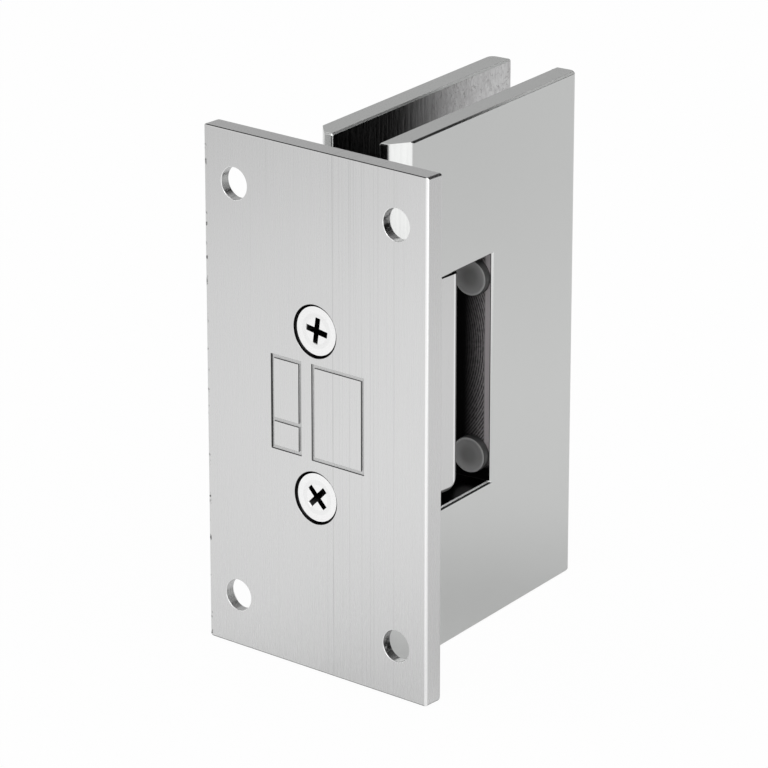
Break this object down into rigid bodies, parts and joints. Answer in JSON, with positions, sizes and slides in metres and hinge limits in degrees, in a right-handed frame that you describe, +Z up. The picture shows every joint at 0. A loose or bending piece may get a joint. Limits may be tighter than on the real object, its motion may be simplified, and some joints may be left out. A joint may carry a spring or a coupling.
{
  "type": "glass door hinge",
  "caption": "Wall-to-glass door hinge with a flat back plate, a pivot block on a vertical pin and a notched two-leaf clamp that grips the glass.",
  "frame": {"origin": "middle of the back plate's wall face", "axes": "+X leaves the wall towards the door, +Y runs along the wall, +Z is up along the pin"},
  "size_m": [0.0629, 0.0472, 0.0904],
  "materials": {
    "plate_satin": "satin plate, faint upright brush lines",
    "leaf_satin": "fine satin",
    "screw_bright": "bright plated",
    "pin_steel": "ground",
    "spring_steel": "rolled strip",
    "dark_screw": "black oxide",
    "nylon": "natural nylon",
    "clear_bumper": "soft translucent plastic"
  },
  "bodies": {
    "wall_side": {"back_plate": "plate_satin", "pivot_block": "leaf_satin", "block_screw_upper": "screw_bright", "block_screw_lower": "screw_bright", "bush_upper": "nylon", "bush_lower": "nylon", "pressure_block": "nylon", "spring_leaf_1": "spring_steel", "spring_leaf_2": "spring_steel", "spring_leaf_3": "spring_steel", "spring_leaf_4": "spring_steel"},
    "door_side": {"body_leaf": "leaf_satin", "cover_leaf": "leaf_satin", "pivot_pin": "pin_steel", "thrust_washer_upper": "pin_steel", "thrust_washer_lower": "pin_steel", "set_screw_upper": "dark_screw", "set_screw_lower": "dark_screw", "clamp_screw_upper": "screw_bright", "clamp_screw_lower": "screw_bright", "bumper_upper": "clear_bumper", "bumper_lower": "clear_bumper"}
  },
  "joints": [
    {"name": "door_swing", "type": "hinge", "parent": "wall_side", "child": "door_side", "pos_m": [0.0227, 0, 0], "axis": [0, 0, 1], "range_deg": [-96, 84]}
  ]
}
